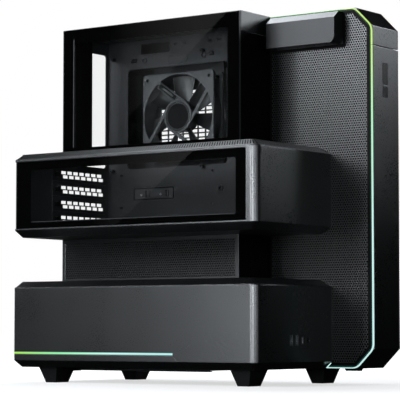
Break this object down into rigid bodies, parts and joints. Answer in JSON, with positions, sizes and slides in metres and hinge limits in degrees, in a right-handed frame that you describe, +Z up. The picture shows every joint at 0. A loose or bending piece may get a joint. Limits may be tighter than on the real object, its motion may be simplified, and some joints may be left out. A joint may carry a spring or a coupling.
{
  "type": "atx pc case",
  "caption": "Two-chamber computer tower case with glass panes, mesh walls, light guides, fan, board tray, card slots and lift-off top.",
  "frame": {"origin": "centre of the case's footprint box, on the floor under its feet", "axes": "+Z up, -Y to the front, -X to the glass side"},
  "size_m": [0.234, 0.446, 0.477],
  "materials": {
    "chassis_steel": "satin black powder coat on folded sheet steel",
    "shell_steel": "fine grained satin black coat",
    "mesh_steel": "perforated sheet, satin black coat",
    "tinted_glass": "tinted tempered glass with a black printed border",
    "light_guide": "frosted acrylic light guide, lit lime to cyan",
    "tab_plastic": "moulded plastic, satin",
    "foot_plastic": "moulded plastic",
    "fan_plastic": "moulded plastic, satin",
    "rotor_plastic": "moulded plastic, satin",
    "bright_steel": "plated sheet steel",
    "dark_steel": "black zinc plated steel",
    "circuit_board": "glass fibre laminate with black solder mask",
    "button_plastic": "glossy moulded plastic",
    "filter_nylon": "nylon mesh in a moulded frame"
  },
  "bodies": {
    "chassis": {"rear_panel": "chassis_steel", "motherboard_tray": "chassis_steel", "base_plate": "chassis_steel", "top_plate": "chassis_steel", "rear_post": "chassis_steel", "front_post": "chassis_steel", "tower_front_panel": "shell_steel", "neck_front_panel": "shell_steel", "recess_mesh_panel": "mesh_steel", "bay_shell": "shell_steel", "bay_glass_frame": "chassis_steel", "base_shell": "shell_steel", "base_trim": "shell_steel", "base_light_strip": "light_guide", "slab_shell": "shell_steel", "slab_mesh_panel": "mesh_steel", "slab_light_guide": "light_guide", "foot_rear_left": "foot_plastic", "foot_front_left": "foot_plastic", "foot_rear_right": "foot_plastic", "foot_front_right": "foot_plastic", "fan_frame": "fan_plastic", "fan_bracket": "chassis_steel", "fan_screws": "dark_steel", "standoffs": "dark_steel", "tray_clips": "fan_plastic", "slot_cover_1": "chassis_steel", "slot_cover_2": "chassis_steel", "slot_cover_3": "chassis_steel", "slot_cover_4": "chassis_steel", "slot_thumb_screws": "dark_steel", "usb_a_port_1": "bright_steel", "usb_a_port_2": "bright_steel", "usb_c_port": "bright_steel", "audio_jack": "button_plastic", "front_io_board": "circuit_board", "button_board": "circuit_board", "filter_rails": "chassis_steel", "drive_bracket": "chassis_steel"},
    "rotor": {"fan_rotor": "rotor_plastic"},
    "power_button": {"power_button": "button_plastic"},
    "mode_button": {"mode_button": "button_plastic"},
    "cover": {"top_cover": "shell_steel", "top_light_guide": "light_guide", "pull_tab": "tab_plastic"},
    "tower_window": {"tower_glass": "tinted_glass"},
    "bay_window": {"bay_glass": "tinted_glass"},
    "side_panel": {"right_panel": "shell_steel"},
    "filter": {"dust_filter": "filter_nylon"}
  },
  "joints": [
    {"name": "fan_spin", "type": "hinge", "parent": "chassis", "child": "rotor", "pos_m": [0.0985, 0.106, 0.361], "axis": [1, 0, 0], "continuous": true},
    {"name": "power_press", "type": "slide", "parent": "chassis", "child": "power_button", "axis": [0, 1, 0], "range_m": [0, 0.0015], "stiffness_N_per_m": 800},
    {"name": "mode_press", "type": "slide", "parent": "chassis", "child": "mode_button", "axis": [0, 1, 0], "range_m": [0, 0.0015], "stiffness_N_per_m": 800},
    {"name": "cover_lift", "type": "slide", "parent": "chassis", "child": "cover", "axis": [0, 0, 1], "range_m": [0, 0.06]},
    {"name": "tower_glass_pull", "type": "slide", "parent": "chassis", "child": "tower_window", "axis": [-1, 0, 0], "range_m": [0, 0.05]},
    {"name": "bay_glass_pull", "type": "slide", "parent": "chassis", "child": "bay_window", "axis": [-1, 0, 0], "range_m": [0, 0.05]},
    {"name": "side_panel_pull", "type": "slide", "parent": "chassis", "child": "side_panel", "axis": [1, 0, 0], "range_m": [0, 0.05]},
    {"name": "filter_pull", "type": "slide", "parent": "chassis", "child": "filter", "axis": [0, 1, 0], "range_m": [0, 0.18]}
  ]
}
